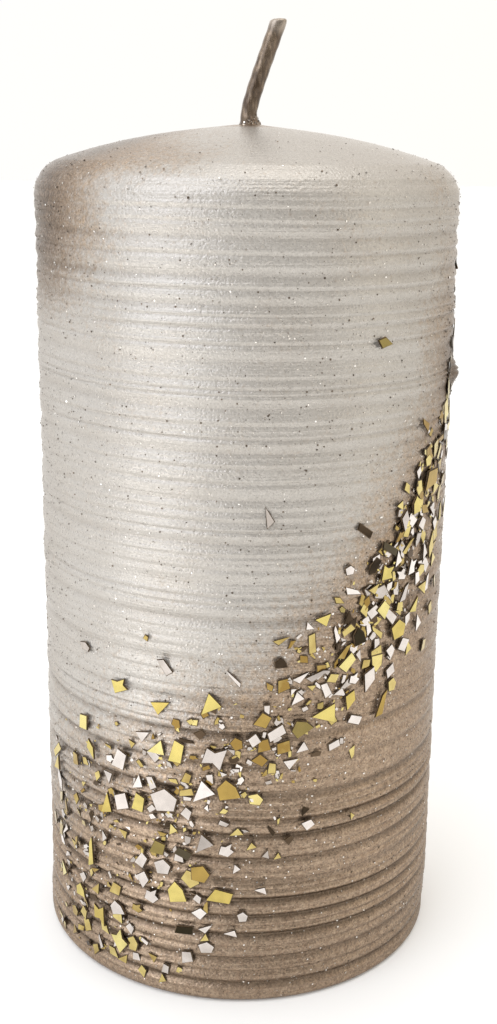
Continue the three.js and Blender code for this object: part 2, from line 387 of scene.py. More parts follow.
def outer_profile():
    """Rows of the coat's outside, from the base edge to the wick: radius, height, angle it faces up."""
    centre, height, dome_angle = shoulder()
    rows = []
    for angle in np.linspace(-math.pi / 2, 0, BASE_ROWS):
        radius = BODY_RADIUS - BASE_EDGE_RADIUS + BASE_EDGE_RADIUS * math.cos(angle)
        rows.append((radius, BASE_EDGE_RADIUS * (1 + math.sin(angle)), angle))
    for up in np.arange(BASE_EDGE_RADIUS, height, WALL_STEP)[1:]:
        rows.append((BODY_RADIUS, up, 0.0))
    for angle in np.linspace(0, dome_angle, SHOULDER_ROWS):
        radius = centre + SHOULDER_RADIUS * math.cos(angle)
        rows.append((radius, height + SHOULDER_RADIUS * math.sin(angle), angle))
    hole = WICK_RADIUS * 0.98
    collar = hole + COLLAR_REACH
    start = math.acos(collar / DOME_RADIUS)
    for angle in np.linspace(dome_angle, start, DOME_ROWS)[1:]:
        radius = DOME_RADIUS * math.cos(angle)
        rows.append((radius, dome_height(radius), angle))
    for share in np.linspace(0, 1, COLLAR_ROWS)[1:]:
        radius = collar - COLLAR_REACH * share
        rows.append((radius, dome_height(radius) + COLLAR_RISE * share**1.6, start))
    return np.array(rows)


def inner_profile():
    """Rows of the coat's inside, from the wick back down to the base."""
    radius = SHOULDER_RADIUS - COAT_THICKNESS
    centre = COAT_INNER_RADIUS - radius
    dome = DOME_RADIUS - COAT_THICKNESS
    height = DOME_TOP - DOME_RADIUS + math.sqrt((dome - radius) ** 2 - centre**2)
    dome_angle = math.acos(centre / (dome - radius))
    rows = []
    for angle in np.linspace(math.acos(WICK_RADIUS / dome), dome_angle, 8):
        rows.append((dome * math.cos(angle), DOME_TOP - DOME_RADIUS + dome * math.sin(angle)))
    for angle in np.linspace(dome_angle, 0, 6)[1:]:
        rows.append((centre + radius * math.cos(angle), height + radius * math.sin(angle)))
    rows.append((COAT_INNER_RADIUS, 0.0))
    return np.array(rows)


def relief(azimuth, height):
    """Depth of the wall below the CAD's crests, and how much of it is groove, at each point."""
    random = np.random.default_rng(SEED)
    table = groove_table()
    wander = GROOVE_WANDER * ripple(azimuth, height, random, 5, 60 * MM)
    tilt = COMB_TILT * np.sin(np.radians(azimuth) - 0.6)
    strength = 1 + 0.22 * ripple(azimuth, height, random, 6, 18 * MM)
    # A band in front, right of the middle, was smoothed over
    band = smoothstep(33 * MM, 40 * MM, height) * (1 - smoothstep(54 * MM, 66 * MM, height))
    patch = band * smoothstep(-4, 16, azimuth) * (1 - smoothstep(90, 130, azimuth))
    strength = strength * (1 - 0.5 * patch)
    groove = np.interp(height + wander + tilt, *table) * strength
    scratches = comb_scratches(azimuth, height, random)
    swell = WALL_SWELL * ripple(azimuth, height, random, 6, 50 * MM)
    return groove + scratches + swell + CREST_DEPTH, groove + scratches


def rim_bulge(azimuth, height):
    """How far the wall stands out where wax gathered: at the foot, and in one run."""
    angle = np.radians(azimuth)
    foot = 1 - smoothstep(2 * MM, 11 * MM, height)
    uneven = foot * MM * (0.35 * np.cos(angle + 0.9) + 0.12 * np.sin(3 * angle + 1.0))
    across = (azimuth - RUN_AZIMUTH) / 5
    up = (height - RUN_HEIGHT) / (2.2 * MM)
    return uneven + RUN_REACH * np.exp(-(across**2) - up**2)


# ---------------- coat: where the paint lies, and painted shade at the foot

SASH_START = -95  # azimuth
SASH_LAP = 245  # degrees over which it climbs; over the rest it drops back to its start
SASH_CURVE = (44, 0.55, 0.0032, -0.0000155)  # height in front, then its powers of azimuth, in mm


def sash_height(azimuth):
    """Height of the middle of the foil sash at each azimuth."""
    level, slope, bend, ease = SASH_CURVE
    lap = (azimuth - SASH_START) % 360
    turn = np.minimum(lap, SASH_LAP) + SASH_START
    climb = level + slope * turn + bend * turn**2 + ease * np.maximum(turn, 0) ** 3
    start = level + slope * SASH_START + bend * SASH_START**2
    return (climb + (start - climb) * smoothstep(SASH_LAP, 360, lap)) * MM


def shoulder_mist(turn, height, radius):
    """Share of bronze on the left of the shoulder and of the dome."""
    across = radius * np.sin(np.radians(turn))
    wall = smoothstep(104 * MM, 127 * MM, height) * smoothstep(-14 * MM, -34 * MM, across)
    dome = smoothstep(3 * MM, -25 * MM, across)
    on_dome = smoothstep(131 * MM, 137 * MM, height)
    return wall * (1 - on_dome) + dome * on_dome


def thick_bronze_and_foot_shade(azimuth, height, radius):
    """Where the bronze is thickest and darkest: top left, the run and round the wick; and painted shade at
    the foot.
    """
    turn = (azimuth + 180) % 360 - 180
    corner = shoulder_mist(turn, height, radius) ** 1.5 * smoothstep(-32, -68, turn)
    across = (turn - RUN_AZIMUTH + 2) / 12
    up = (height - RUN_HEIGHT - MM) / (9 * MM)
    run = np.exp(-(across**2) - up**2)
    root = (1 - smoothstep(WICK_RADIUS, 3.2 * MM, radius)) * (height > CORE_TOP)
    # Darker towards the foot: painted shade near the floor
    foot = (1 - smoothstep(0, 24 * MM, height)) * smoothstep(-75, -20, turn)
    return np.clip(1.3 * corner + 1.3 * run + 0.2 * foot + root, 0, 1)


def bronze_mist(azimuth, height, radius):
    """Share of bronze paint at each point, before its grain: 0 is pearl and 1 is bronze."""
    turn = (azimuth + 180) % 360 - 180
    raised = 8 * MM * smoothstep(-75, -35, turn) + 8 * MM * smoothstep(80, 120, -turn)
    below = sash_height(turn) + raised - height
    softness = 1 + 0.5 * smoothstep(0, -45, turn) + 0.8 * smoothstep(135, 165, np.abs(turn))
    sash = smoothstep(-22 * MM * softness, 14 * MM * softness, below)
    back = smoothstep(40, 76, turn) * (1 - smoothstep(150, 178, turn))
    back = back * (1 - 0.65 * smoothstep(106 * MM, 124 * MM, height))
    on_wall = 1 - smoothstep(130 * MM, 136.5 * MM, height)
    wall = on_wall * np.maximum(sash, 0.85 * back)
    ring = 1 - smoothstep(2 * MM, 9 * MM, radius)
    ring = 0.8 * ring * smoothstep(DOME_TOP - 2 * MM, DOME_TOP, height)
    share = np.maximum(wall, shoulder_mist(turn, height, radius))
    return np.clip(np.maximum(share, ring), 0, 1)


def add_paint(coat, name, outside, inner_rows):
    """An attribute over the coat's outside, and 0 over its inside."""
    outside = np.broadcast_to(outside, (len(outside), LAP_STEPS))
    add_attribute(coat, name, np.concatenate([outside, np.zeros((inner_rows, LAP_STEPS))]))


def make_coat():
    outer = outer_profile()
    inner = inner_profile()
    azimuth = np.arange(LAP_STEPS) * 360 / LAP_STEPS - 180
    azimuth_grid = azimuth[None, :]
    radius, height, slope = (column[:, None] for column in outer.T)
    depth, groove = relief(azimuth_grid, height)
    on_wall = smoothstep(0, BASE_EDGE_RADIUS * 2, height) * (1 - smoothstep(133.4 * MM, 135 * MM, height))
    moved = rim_bulge(azimuth_grid, height) - depth * on_wall
    grid_radius = radius + moved * np.cos(slope)
    grid_height = np.maximum(height + moved * np.sin(slope) * (height > 100 * MM), 0)
    grid_height = grid_height + collar_lumps(azimuth_grid, radius)
    outside = polar(azimuth_grid, grid_radius, grid_height)
    inside = polar(azimuth_grid, inner[:, 0][:, None], inner[:, 1][:, None])
    points = np.concatenate([outside, inside]).reshape(-1, 3)
    rows = len(outer) + len(inner)
    coat = add_piece("coat_ribbed", points, ring_faces(rows, LAP_STEPS), pearl_lacquer())
    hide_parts("ribbed_coat")
    add_paint(coat, "bronze", bronze_mist(azimuth_grid, height, radius), len(inner))
    add_paint(coat, "thick_bronze_and_shade", thick_bronze_and_foot_shade(azimuth_grid, height, radius), len(inner))
    # The groove attribute drives painted shade in the lacquer's colour
    add_paint(coat, "groove", np.clip(groove * on_wall / USUAL_DEPTH, 0, 1), len(inner))


# ---------------- coat: lacquer


def pearl_lacquer():
    """Satin pearl lacquer with bronze sprayed over it, both full of fine metal grain."""
    shader = Shader("pearl_lacquer")
    fine = shader.noise(2600, detail=1)
    coarse = shader.noise(1100, detail=2)
    cloud = shader.noise(90, detail=3)

    # Bronze lands as fine spots where the spray is thin
    grain = shader.calc("ADD", shader.calc("MULTIPLY", fine, 0.5), shader.calc("MULTIPLY", coarse, 0.8))
    drift = shader.calc("MULTIPLY_ADD", cloud, 0.5, -0.25)
    cover = shader.calc("ADD", shader.attribute("bronze"), shader.calc("ADD", drift, grain))
    cover = shader.mapped(cover, 0.78, 1.42)

    pearl = shader.mixed(shader.mapped(cloud, 0.3, 0.7), srgb(186, 181, 174), srgb(182, 176, 168))
    bronze = shader.mixed(shader.mapped(coarse, 0.3, 0.7), srgb(144, 122, 101), srgb(168, 147, 125))
    colour = shader.mixed(cover, pearl, bronze)
    # Thick dark bronze, and at the foot painted shade
    thick_bronze_and_shade = shader.calc("MULTIPLY", shader.attribute("thick_bronze_and_shade"), shader.mapped(grain, 0.45, 0.75, 0.5, 1.0))
    colour = shader.mixed(thick_bronze_and_shade, colour, srgb(92, 77, 64))
    # Painted shade: the grooves darkened towards brown, more where the bronze covers
    shade = shader.mapped(shader.attribute("groove"), 0.22, 0.95, 0.0, 0.8)
    shade = shader.calc("MULTIPLY", shade, shader.mapped(cover, 0, 1, 0.4, 1.0))
    colour = shader.mixed(shade, colour, srgb(88, 72, 56))

    # Single metal grains, dark or bright
    spots = shader.cells(3900, "Color")
    speck = shader.mapped(spots, 0.1, 0.9, -1.0, 1.0)
    speck = shader.calc("MULTIPLY_ADD", speck, shader.mapped(cover, 0, 1, 0.08, 0.32), 1.0)
    speck_colour = shader.add("CombineColor")
    for channel in speck_colour.inputs:
        shader.put(speck, channel)
    colour = shader.mixed(1.0, colour, speck_colour.outputs["Color"], "MULTIPLY")
    shader.feed(Base_Color=colour)

    shader.feed(Metallic=shader.mapped(cover, 0, 1, 0.55, 0.8))
    shader.feed(Roughness=shader.mapped(fine, 0.3, 0.7, 0.26, 0.38))
    shader.feed(Coat_Weight=shader.mapped(cover, 0, 1, 0.15, 0.35))
    shader.feed(Coat_Roughness=0.2, Specular_Tint=(0.52, 0.48, 0.44, 1.0))
    lap = shader.add("Tangent", direction_type="RADIAL", axis="Z")
    shader.feed(Anisotropic=0.35, Anisotropic_Rotation=0.25, Tangent=lap.outputs["Tangent"])

    # Brushed lines round the candle, then the grain's own roughness
    lines = shader.noise((10, 10, 1900), detail=3, roughness=0.6)
    normal = shader.bump(lines, 0.15 * MM, 0.8)
    normal = shader.bump(spots, 0.03 * MM, 0.5, normal)
    normal = shader.bump(fine, 0.12 * MM, 0.8, normal)
    normal = shader.bump(coarse, 0.04 * MM, 0.4, normal)
    shader.feed(Normal=normal, Coat_Normal=normal)
    return shader.material


def painted_flake_shadow():
    """Dark brown sheets under the flakes' edges: painted shadow round each flake."""
    shader = Shader("painted_flake_shadow")
    patch = shader.noise(900, detail=2)
    colour = shader.mixed(shader.mapped(patch, 0.35, 0.65), srgb(74, 60, 44), srgb(112, 92, 68))
    shader.feed(Base_Color=colour, Metallic=0.4, Roughness=0.45)
    return shader.material


# ---------------- foil

# Dark brown on the flakes' side faces: painted shade along their edges
PAINTED_EDGE_SHADE = srgb(72, 60, 42)


def foil(name, light, dark, roughness=0.22):
    """Mirror foil whose tone follows each flake's own tint, with slight wrinkles; its side faces are
    painted dark, painted shade along the edges.
    """
    shader = Shader(name)
    wrinkle = shader.noise(420, detail=2)
    soft = shader.mapped(wrinkle, 0.35, 0.65, 0.0, 0.35)
    tone = shader.calc("ADD", shader.attribute("tint"), soft)
    face = shader.mixed(shader.mapped(tone, 0, 1.1), light, dark)
    # Painted shade: side faces, edge on to the axis, take the dark edge colour
    cut = shader.mapped(shader.outward(), 0.25, 0.6, 1.0, 0.0)
    shader.feed(Base_Color=shader.mixed(cut, face, PAINTED_EDGE_SHADE), Metallic=1.0, Roughness=roughness)
    shader.feed(Normal=shader.bump(wrinkle, 0.12 * MM, 0.35))
    return shader.material


GOLD_TONES = [(226, 212, 142), (214, 196, 118), (204, 182, 104), (176, 148, 82), (144, 128, 78)]
SILVER_TONES = [(242, 235, 229), (224, 215, 208), (208, 199, 192), (180, 171, 164)]
DARK_TONES = [(52, 46, 34), (84, 76, 60)]

# Light and deep tone of the flakes that have no node of their own
SMALL_FOILS = {
    "gold": ((226, 210, 140), (150, 122, 66)),
    "silver": ((240, 232, 226), (178, 169, 161)),
    "dark": ((40, 34, 26), (96, 80, 64)),
}


def foil_set(kind, tones):
    """One foil material for each tone, for flakes that are nodes of their own."""
    made = []
    for index, tone in enumerate(tones):
        darker = tuple(0.72 * value for value in tone)
        made.append(foil(f"{kind}_foil_{index + 1}", srgb(*tone), srgb(*darker)))
    return made


def dress_cad_flakes():
    """Foil on the large flakes; their tones come in a repeating order, so that neighbours differ."""
    sets = {
        "gold": (foil_set("gold", GOLD_TONES), (1, 4, 3, 1, 2, 1, 0, 1, 2, 0, 1, 3, 2)),
        "silver": (foil_set("silver", SILVER_TONES), (1, 2, 1, 0, 2, 1, 3)),
        "dark": (foil_set("dark", DARK_TONES), (0, 1)),
    }
    for name in sorted(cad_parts):
        kind, _, number = name.partition("_flake_")
        if number:
            materials, order = sets[kind]
            dress_node(name, materials[order[int(number) % len(order)]])


# ---------------- small flakes

# Outlines in a box one unit wide and one unit long
OUTLINES = {
    "triangle": [(-0.5, -0.5), (0.5, -0.3), (0.1, 0.5)],
    "kite": [(0, -0.5), (0.5, 0.05), (0.15, 0.5), (-0.5, 0.15)],
    "trapezoid": [(-0.5, -0.5), (0.4, -0.5), (0.5, 0.35), (-0.2, 0.5)],
    "pentagon": [(-0.3, -0.5), (0.35, -0.45), (0.5, 0.1), (0.05, 0.5), (-0.5, 0.2)],
    "house": [(-0.45, -0.5), (0.5, -0.45), (0.35, 0.1), (-0.05, 0.5), (-0.5, 0.1)],
    "sliver": [(-0.5, -0.5), (0.3, -0.4), (0.5, 0.5), (0.05, 0.3)],
    "bar": [(-0.5, -0.5), (0.45, -0.45), (0.5, 0.5), (-0.4, 0.4)],
    "star": [(-0.5, -0.3), (0.1, -0.5), (0.5, -0.1), (0.25, 0.1), (0.35, 0.5), (-0.05, 0.25), (-0.35, 0.3)],
}

# Middle-sized flakes: (outline, azimuth, height, length, width, spin, tint); tint 0 is bright, 1 is deep
GOLD_FLAKES = [
    ("sliver", 54, 95, 2.6, 1.6, 70, 0.9), ("kite", 66, 95, 2.4, 1.6, 20, 0.8),
    ("trapezoid", 62, 90.5, 2.2, 2.4, 30, 0.3), ("pentagon", 57, 89, 1.8, 2.0, 0, 0.1),
    ("kite", 66, 87, 2.6, 1.8, -20, 0.6), ("triangle", 63, 83.5, 2.4, 2.2, 140, 0.2),
    ("bar", 70, 84, 2.2, 1.4, 30, 0.7), ("kite", 56, 81, 2.8, 1.6, 60, 0.8),
    ("sliver", 68, 79, 3.0, 1.2, 10, 0.3), ("triangle", 64, 71.5, 2.4, 1.8, 30, 0.2),
    ("sliver", 48, 76, 3.2, 1.4, -20, 0.5), ("kite", 67, 67, 2.2, 1.4, 0, 0.4),
    ("sliver", 27, 61, 2.8, 1.5, -25, 0.7), ("bar", 18, 63, 3.2, 1.1, 5, 0.4),
    ("triangle", 10, 64, 2.6, 0.9, -65, 0.5), ("bar", 24, 56.8, 1.5, 1.8, -20, 0.2),
    ("trapezoid", 10.5, 56.5, 1.9, 2.2, 20, 0.8), ("pentagon", 44, 53, 2.2, 2.0, -10, 0.2),
    ("pentagon", -1, 46.8, 2.0, 1.9, 20, 1.0), ("kite", 6, 46.3, 2.4, 2.6, 60, 0.85),
    ("bar", 11, 46, 2.0, 2.2, 10, 0.9), ("trapezoid", 5, 44, 1.6, 2.2, -30, 0.95),
    ("kite", 1, 38, 1.2, 1.0, 0, 0.4), ("pentagon", 4, 37.2, 1.9, 2.4, -10, 0.1),
    ("trapezoid", -14, 40.4, 1.7, 1.4, -10, 0.6), ("triangle", -0.8, 31.5, 1.4, 2.2, 0, 0.4),
    ("triangle", 3, 29, 1.2, 1.7, 10, 0.3), ("kite", -25, 63, 1.0, 0.9, 30, 0.6),
    ("trapezoid", -36, 17, 1.9, 2.4, 0, 0.5), ("star", -28.5, 15, 1.8, 2.2, 0, 0.7),
    ("triangle", -9, 12, 1.3, 1.4, 0, 0.3), ("kite", -16, 5, 1.4, 1.2, 40, 0.2),
    ("triangle", -21, 3, 1.6, 1.4, 10, 0.4), ("triangle", -55, 4, 2.0, 1.6, 20, 0.7),
    ("kite", -44, 3.4, 2.4, 1.6, -10, 0.5), ("kite", -37, 4.6, 2.6, 1.8, 60, 0.3),
    ("triangle", 10, 27, 1.2, 1.2, 0, 0.3), ("triangle", 31, 32, 1.2, 0.9, 30, 0.4),
    ("pentagon", -13, 22.5, 3.0, 2.8, 30, 0.3), ("sliver", -9, 17.5, 2.2, 1.3, 10, 0.6),
    ("kite", -52, 30, 2.2, 1.4, 0, 0.7), ("sliver", -58, 27, 2.6, 1.1, 20, 0.8),
    ("triangle", -30, 44.5, 1.4, 1.2, 40, 0.5), ("kite", -13, 50, 1.0, 1.2, 0, 0.4),
    ("bar", -68, 22, 2.2, 1.6, 10, 0.6), ("triangle", -54, 21, 1.8, 1.6, 50, 0.4),
    ("kite", 47, 85.5, 2.2, 1.4, 30, 0.3), ("triangle", 44, 83, 1.8, 1.6, 90, 0.2),
    ("kite", 56, 76.5, 2.6, 1.8, 0, 0.2), ("trapezoid", 65, 76, 3.0, 1.8, 20, 0.4),
    ("pentagon", 55, 71, 2.2, 2.0, 30, 0.3), ("sliver", 62, 73.5, 3.4, 1.6, -30, 0.7),
    ("kite", 46, 66, 2.4, 1.8, 40, 0.2), ("triangle", 57, 67.5, 2.6, 2.2, 80, 0.3),
    ("bar", 63, 63, 2.0, 1.4, 20, 0.6), ("triangle", 36, 70.5, 2.2, 1.6, -50, 0.4),
    ("kite", 33, 67, 2.4, 1.4, 20, 0.1), ("sliver", 37, 63, 2.8, 1.2, 60, 0.3),
    ("triangle", 50, 58.5, 2.2, 1.8, 10, 0.2), ("kite", 34, 58, 2.0, 1.6, -40, 0.5),
    ("trapezoid", 60, 57, 1.8, 2.0, 0, 0.5), ("kite", 25, 69.5, 2.0, 1.0, 60, 0.6),
    ("triangle", -18, 31, 1.8, 1.6, 20, 0.2), ("kite", -47, 38, 2.0, 1.6, 70, 0.5),
    ("trapezoid", -52, 37.5, 2.2, 1.8, 10, 0.7), ("kite", -42, 36.5, 1.8, 1.4, 0, 0.3),
    ("triangle", -33, 28, 1.8, 1.4, 60, 0.4), ("kite", -49, 9, 2.4, 2.0, 30, 0.3),
    ("triangle", -43, 15.5, 2.2, 1.8, -20, 0.5), ("pentagon", -54, 8, 1.8, 2.0, 0, 0.6),
    ("trapezoid", -48, 7, 2.2, 1.8, 30, 0.4), ("kite", -40, 8.5, 2.6, 1.6, 60, 0.2),
    ("triangle", -33, 4.5, 2.0, 1.6, -30, 0.6), ("kite", -27, 3.2, 2.2, 1.6, 20, 0.3),
    ("pentagon", -30, 8, 2.6, 2.2, 0, 0.2), ("triangle", -24, 6.5, 1.8, 1.4, 50, 0.5),
    ("kite", -35, 12, 2.8, 2.2, 40, 0.1),
]
SILVER_FLAKES = [
    ("bar", 36.3, 74.8, 1.9, 1.6, 10, 0.1), ("pentagon", 28, 74.2, 1.5, 1.6, 0, 0.2),
    ("trapezoid", 37.5, 60.8, 2.4, 1.3, 15, 0.4), ("kite", 42.5, 59, 2.2, 1.9, 0, 0.2),
    ("bar", 48, 59.3, 2.2, 1.9, -30, 0.3), ("star", 30.4, 56, 1.8, 1.8, 0, 0.1),
    ("triangle", 15.4, 57.6, 2.8, 1.2, -55, 0.3), ("triangle", 14.3, 54.2, 2.0, 2.2, 15, 0.2),
    ("bar", 31, 48.9, 1.4, 2.9, -25, 0.2), ("bar", 3.4, 47.4, 1.7, 1.7, 35, 0.4),
    ("triangle", 16, 45.8, 1.8, 2.0, 0, 0.3), ("bar", 25, 45.2, 1.2, 2.0, 20, 0.2),
    ("triangle", 13, 43, 1.7, 2.3, 180, 0.2), ("sliver", -2, 57.6, 3.2, 0.7, 50, 0.4),
    ("triangle", -26.2, 46.2, 2.0, 2.4, 180, 0.3), ("kite", 18, 32, 1.9, 2.4, -10, 0.2),
    ("star", -3.4, 28.2, 2.3, 2.4, 0, 0.4), ("trapezoid", -27, 24.2, 2.4, 1.9, -20, 0.5),
    ("triangle", -1, 25, 1.5, 1.4, 20, 0.3), ("kite", -11, 18.9, 1.9, 1.4, 20, 0.5),
    ("triangle", -8.6, 13.7, 2.4, 1.2, -50, 0.3), ("triangle", -1.8, 13.2, 1.3, 2.3, -25, 0.3),
    ("pentagon", -8.6, 10.2, 1.9, 2.6, 0, 0.5), ("triangle", 6, 21, 1.1, 2.2, -30, 0.2),
    ("pentagon", 1, 16.2, 1.8, 1.7, 0, 0.4), ("pentagon", -46, 58.7, 1.3, 2.6, -5, 0.8),
    ("trapezoid", -20, 58.8, 2.9, 1.3, 35, 0.6), ("triangle", 6, 83.6, 3.2, 1.3, 20, 1.0),
    ("kite", 41, 70, 2.2, 1.4, -30, 0.2), ("triangle", 57, 74, 2.6, 1.6, 15, 0.3),
    ("sliver", 60, 68, 3.0, 1.4, 0, 0.2), ("kite", 62, 79.5, 2.0, 1.8, 30, 0.4),
    ("trapezoid", 53, 70, 2.0, 1.5, 20, 0.1), ("triangle", -38, 37.5, 2.0, 1.8, 60, 0.6),
    ("trapezoid", -24, 38.5, 2.2, 1.4, 30, 0.5), ("kite", -49, 16, 2.0, 1.6, 0, 0.6),
    ("sliver", 24.5, 64, 2.6, 1.2, 30, 0.2), ("bar", 43, 55.5, 1.6, 2.0, 20, 0.3),
    ("kite", 52, 87.5, 2.0, 1.4, 0, 0.1), ("triangle", 60, 86, 2.2, 1.8, 40, 0.3),
    ("sliver", 41, 76, 2.4, 1.2, -40, 0.3), ("kite", 64, 77.5, 2.4, 1.6, 0, 0.2),
    ("triangle", 44, 74.5, 2.6, 1.6, 10, 0.1), ("bar", 58, 71.5, 2.4, 1.8, 35, 0.3),
    ("kite", 49, 63.5, 2.4, 1.6, -20, 0.2), ("triangle", 55, 62, 2.8, 1.8, 20, 0.1),
    ("trapezoid", 42, 65, 2.6, 1.6, 50, 0.4), ("kite", 30, 61, 2.6, 1.4, -30, 0.1),
    ("sliver", 34, 64.5, 3.0, 1.2, 20, 0.2), ("triangle", 26, 54, 2.0, 1.6, 100, 0.3),
    ("trapezoid", 22, 55, 2.4, 1.4, 30, 0.2), ("kite", -14, 34, 2.2, 1.8, 20, 0.5),
    ("triangle", -28, 38, 2.4, 1.8, 0, 0.3), ("kite", -16, 26, 2.0, 1.8, 50, 0.5),
    ("star", -24, 18, 2.6, 2.6, 0, 0.4), ("triangle", -40, 26, 1.8, 1.6, 30, 0.5),
    ("kite", -31, 10.5, 2.2, 1.6, 10, 0.4), ("trapezoid", -14, 8, 2.0, 2.2, 20, 0.5),
    ("triangle", -36, 7, 2.0, 1.6, 20, 0.4), ("kite", -29, 5.5, 1.8, 1.6, 60, 0.3),
    ("trapezoid", -20, 5, 1.6, 1.4, 0, 0.5), ("sliver", -42, 5.5, 2.6, 1.2, 30, 0.3),
]
DARK_FLAKES = [
    ("bar", 32, 80.2, 2.9, 1.0, 55, 0.2), ("house", 10, 60.2, 1.5, 1.9, 0, 0.1),
    ("kite", -10.5, 48, 1.5, 1.9, 0, 0.9), ("triangle", 17, 34.6, 1.2, 1.6, 30, 0.1),
    ("triangle", 28, 66.5, 2.0, 1.6, 0, 0.3), ("kite", 74, 101, 4.6, 3.0, 20, 0.6),
    ("triangle", 69, 92, 2.4, 1.4, 0, 0.5), ("sliver", 8, 31.5, 1.8, 0.9, 50, 0.1),
    ("kite", 13, 29.6, 1.6, 1.6, 0, 0.8),
]

FLAKE_THICKNESS = 0.12 * MM
SMALL_FLAKE_THICKNESS = 0.06 * MM
CHIP_THICKNESS = 0.05 * MM
FLAT_FLAKES = 66  # azimuth beyond which small flakes lie almost flat
SCATTERED_FLAKES = 1300
FAR_END_DEPTH = 0.22 * MM

# Dark sheets just under each flake and a little wider: painted shadow round its edge
RIM_WIDTH = 0.3 * MM
RIM_THICKNESS = 0.04 * MM
RIM_DROP = 0.05 * MM  # below the flake

GLITTER_SPECKS = 13000
ROOT_SPECKS = 110  # on the wax drawn up round the wick


def seat(azimuth):
    """Distance from the axis at which flakes lie: on the crests, and deeper at the sash's far end."""
    return BODY_RADIUS - FAR_END_DEPTH * float(smoothstep(50, 68, azimuth))


class FlakeHeap:
    """Collects flakes of one kind into one mesh."""

    def __init__(self):
        self.points = []
        self.faces = []
        self.tints = []

    def add(self, outline, place, length, width, thickness, tint):
        first = len(self.points)
        corners = len(outline)
        for level in (0, thickness):
            for x, y in outline:
                self.points.append(place @ Vector((x * width, y * length, level)))
        low = list(range(first, first + corners))
        high = [index + corners for index in low]
        self.faces.append(low[::-1])
        self.faces.append(high)
        for index in range(corners):
            following = (index + 1) % corners
            self.faces.append((low[index], low[following], high[following], high[index]))
        self.tints += [tint] * (2 * corners)

    def add_flake(self, rims, outline, place, length, width, thickness, tint):
        """A flake, and under it a dark sheet a little wider: painted shadow round its edge."""
        self.add(outline, place, length, width, thickness, tint)
        under = place @ Matrix.Translation((0, 0, -RIM_DROP))
        rims.add(outline, under, length + RIM_WIDTH, width + RIM_WIDTH, RIM_THICKNESS, 0)

    def piece(self, name, slot, material):
        made = add_piece(name, self.points, self.faces, material, smooth=False)
        add_attribute(made, "tint", self.tints)


def tilted(place, spin, leans):
    """place with a flake leaned on it and turned in its own plane, angles in degrees."""
    for degrees, axis in ((leans[0], "X"), (leans[1], "Y"), (spin, "Z")):
        place = place @ Matrix.Rotation(math.radians(degrees), 4, axis)
    return place


def wall_place(azimuth, height, radius):
    """Frame on the wall: x along the lap, y up, z outwards."""
    turn = Matrix.Rotation(math.radians(azimuth), 4, "Z") @ Matrix.Rotation(math.pi / 2, 4, "X")
    return turn @ Matrix.Translation((0, height, radius))


def shoulder_place(azimuth, share):
    """Frame on the rounding between wall and dome, z outwards; share 0 is at the wall."""
    centre, height, dome_angle = shoulder()
    turn = Matrix.Rotation(math.radians(azimuth), 4, "Z") @ Matrix.Translation((0, -centre, height))
    tip = Matrix.Rotation(math.pi / 2 - share * dome_angle, 4, "X")
    return turn @ tip @ Matrix.Translation((0, 0, SHOULDER_RADIUS))


def dome_place(azimuth, radius):
    """Frame on the dome, z outwards."""
    angle = math.asin(radius / DOME_RADIUS)
    turn = Matrix.Rotation(math.radians(azimuth), 4, "Z") @ Matrix.Rotation(angle, 4, "X")
    centre = Matrix.Translation((0, 0, DOME_TOP - DOME_RADIUS))
    return centre @ turn @ Matrix.Translation((0, 0, DOME_RADIUS))


def collar_place(azimuth, share):
    """Frame on the wax drawn up round the wick, z level and outwards; share 1 is at the wick."""
    radius = WICK_RADIUS + COLLAR_REACH * (1 - share)
    height = dome_height(radius) + COLLAR_RISE * share**1.6 + float(collar_lumps(azimuth, radius))
    return wall_place(azimuth, height, radius)


def add_cad_rims(rims):
    """Painted shadow round the large flakes that are nodes of their own: dark sheets a little wider, just
    under them.
    """
    for name, node in sorted(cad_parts.items()):
        if "_flake_" not in name:
            continue
        corners = [node.matrix_world @ v.co for v in node.data.vertices]
        middle = sum(corners, Vector()) / len(corners)
        outwards = Vector((middle.x, middle.y, 0)).normalized()
        first = len(rims.points)
        for corner in corners:
            reach = corner - middle
            away = reach - outwards * reach.dot(outwards)
            rims.points.append(corner + away.normalized() * RIM_WIDTH * 0.5 - outwards * 0.12 * MM)
        for face in node.data.polygons:
            rims.faces.append(tuple(first + index for index in face.vertices))
        rims.tints += [0] * len(corners)


def place_flakes(heaps):
    """The middle-sized flakes, each where it was stuck."""
    random = np.random.default_rng(SEED + 3)
    for kind, flakes in (("gold", GOLD_FLAKES), ("silver", SILVER_FLAKES), ("dark", DARK_FLAKES)):
        for outline, azimuth, height, length, width, spin, tint in flakes:
            lift = random.uniform(0.1, 0.35) * MM
            place = wall_place(azimuth, height * MM, seat(azimuth) + lift)
            place = tilted(place, spin, random.normal(0, 4, 2))
            size = (length * MM, width * MM, FLAKE_THICKNESS)
            heaps[kind].add_flake(heaps["rim"], OUTLINES[outline], place, *size, tint)


